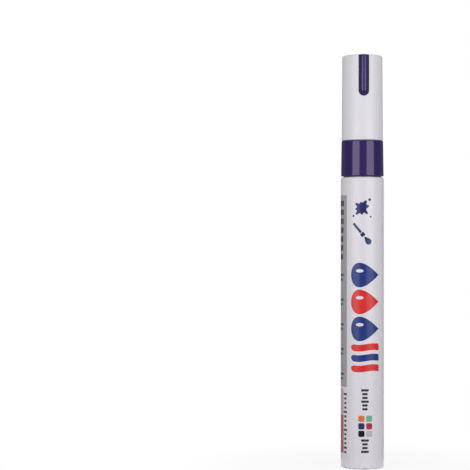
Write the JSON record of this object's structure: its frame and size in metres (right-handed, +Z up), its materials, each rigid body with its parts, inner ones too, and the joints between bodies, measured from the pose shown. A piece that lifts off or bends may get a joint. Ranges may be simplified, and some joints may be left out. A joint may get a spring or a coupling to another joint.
{
  "type": "paint marker",
  "caption": "Capped valve-action paint marker: round metal barrel with a loose mixing ball, coloured collar, bullet nib over a sprung valve, and slotted pull-off cap with a coloured plug.",
  "frame": {"origin": "centre of the barrel's foot, on the plane that the pen stands on", "axes": "+Z up the pen's length towards the cap's end; -Y towards the side that carries the cap's rib"},
  "size_m": [0.015, 0.0156, 0.1435],
  "materials": {
    "lacquer": "satin",
    "colour": "gloss",
    "cap_plastic": "satin",
    "nozzle_plastic": "satin",
    "natural_plastic": "satin",
    "soft_rubber": "matte",
    "spring_steel": "satin",
    "ball_steel": "polished",
    "fibre": "matte"
  },
  "bodies": {
    "barrel": {"barrel": "lacquer", "collar": "colour", "barrel_gasket": "soft_rubber", "valve_cage": "natural_plastic", "valve_seat": "soft_rubber", "valve_spring": "spring_steel", "nozzle": "nozzle_plastic"},
    "cap": {"cap_shell": "cap_plastic", "colour_plug": "colour", "inner_cap": "natural_plastic"},
    "nib": {"nib": "fibre"},
    "valve_rod": {"valve_rod": "natural_plastic"},
    "ball": {"mixing_ball": "ball_steel"}
  },
  "joints": [
    {"name": "cap_pull", "type": "slide", "parent": "barrel", "child": "cap", "axis": [0, 0, 1], "range_m": [0, 0.03]},
    {"name": "nib_press", "type": "slide", "parent": "barrel", "child": "nib", "axis": [0, 0, -1], "range_m": [0, 0.0018]},
    {"name": "valve_open", "type": "slide", "parent": "barrel", "child": "valve_rod", "axis": [0, 0, -1], "range_m": [0, 0.0018], "stiffness_N_per_m": 300, "springref_m": -0.002, "deforming": ["valve_spring"]},
    {"name": "ball_travel", "type": "slide", "parent": "barrel", "child": "ball", "axis": [0, 0, 1], "range_m": [0, 0.077]}
  ],
  "couplings": [
    {"joint": "valve_open", "follows": "nib_press", "ratio": 1}
  ]
}
